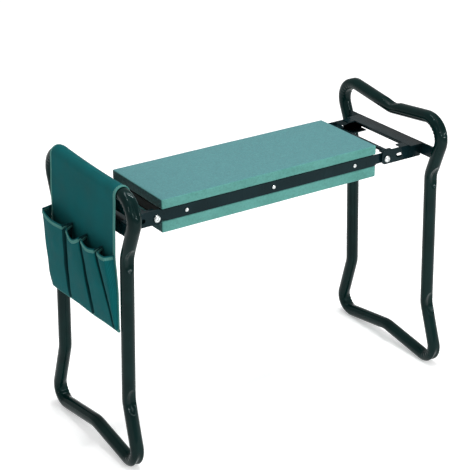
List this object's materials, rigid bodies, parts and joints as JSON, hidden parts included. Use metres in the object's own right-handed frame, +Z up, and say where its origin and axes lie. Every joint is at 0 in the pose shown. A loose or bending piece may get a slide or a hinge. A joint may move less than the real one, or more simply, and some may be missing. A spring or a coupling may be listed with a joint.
{
  "type": "folding garden kneeler seat",
  "caption": "Folding garden kneeler and seat: foam pads on a steel frame, bent tube end frames that fold under it, and a fabric tool pouch on one handle.",
  "frame": {"origin": "on the floor, under the middle of the whole length", "axes": "+X along the seat away from the pouch, +Y from front to back, +Z up"},
  "size_m": [0.6544, 0.2848, 0.4857],
  "materials": {
    "tube_enamel": "gloss dark green enamel",
    "bracket_enamel": "semi-gloss near black enamel",
    "pad_foam": "fine woven cover on closed-cell foam",
    "core_board": "dark stained board",
    "zinc": "bright zinc",
    "pouch_cloth": "coarse woven polyester with sewn binding"
  },
  "bodies": {
    "seat": {"top_pad": "pad_foam", "lower_pad": "pad_foam", "seat_board": "core_board", "front_rail": "bracket_enamel", "back_rail": "bracket_enamel", "end_bar_left": "bracket_enamel", "end_bar_right": "bracket_enamel", "pivot_bolt_left_front": "zinc", "washer_left_front": "zinc", "nut_left_front": "zinc", "pivot_bolt_left_back": "zinc", "washer_left_back": "zinc", "nut_left_back": "zinc", "pivot_bolt_right_front": "zinc", "washer_right_front": "zinc", "nut_right_front": "zinc", "pivot_bolt_right_back": "zinc", "washer_right_back": "zinc", "nut_right_back": "zinc", "rail_rivet_front_left": "zinc", "rail_rivet_front_middle": "zinc", "rail_rivet_front_right": "zinc", "rail_rivet_back_left": "zinc", "rail_rivet_back_middle": "zinc", "rail_rivet_back_right": "zinc"},
    "left_frame": {"leg_loop_left": "tube_enamel", "cross_member_left": "bracket_enamel", "arm_left_front": "bracket_enamel", "arm_left_back": "bracket_enamel", "pouch_panel": "pouch_cloth", "pouch_pockets": "pouch_cloth"},
    "right_frame": {"leg_loop_right": "tube_enamel", "cross_member_right": "bracket_enamel", "arm_right_front": "bracket_enamel", "arm_right_back": "bracket_enamel"}
  },
  "joints": [
    {"name": "left_fold", "type": "hinge", "parent": "seat", "child": "left_frame", "pos_m": [-0.2215, 0, 0.4015], "axis": [0, -1, 0], "range_deg": [0, 93]},
    {"name": "right_fold", "type": "hinge", "parent": "seat", "child": "right_frame", "pos_m": [0.2305, 0, 0.4015], "axis": [0, 1, 0], "range_deg": [0, 84]}
  ]
}
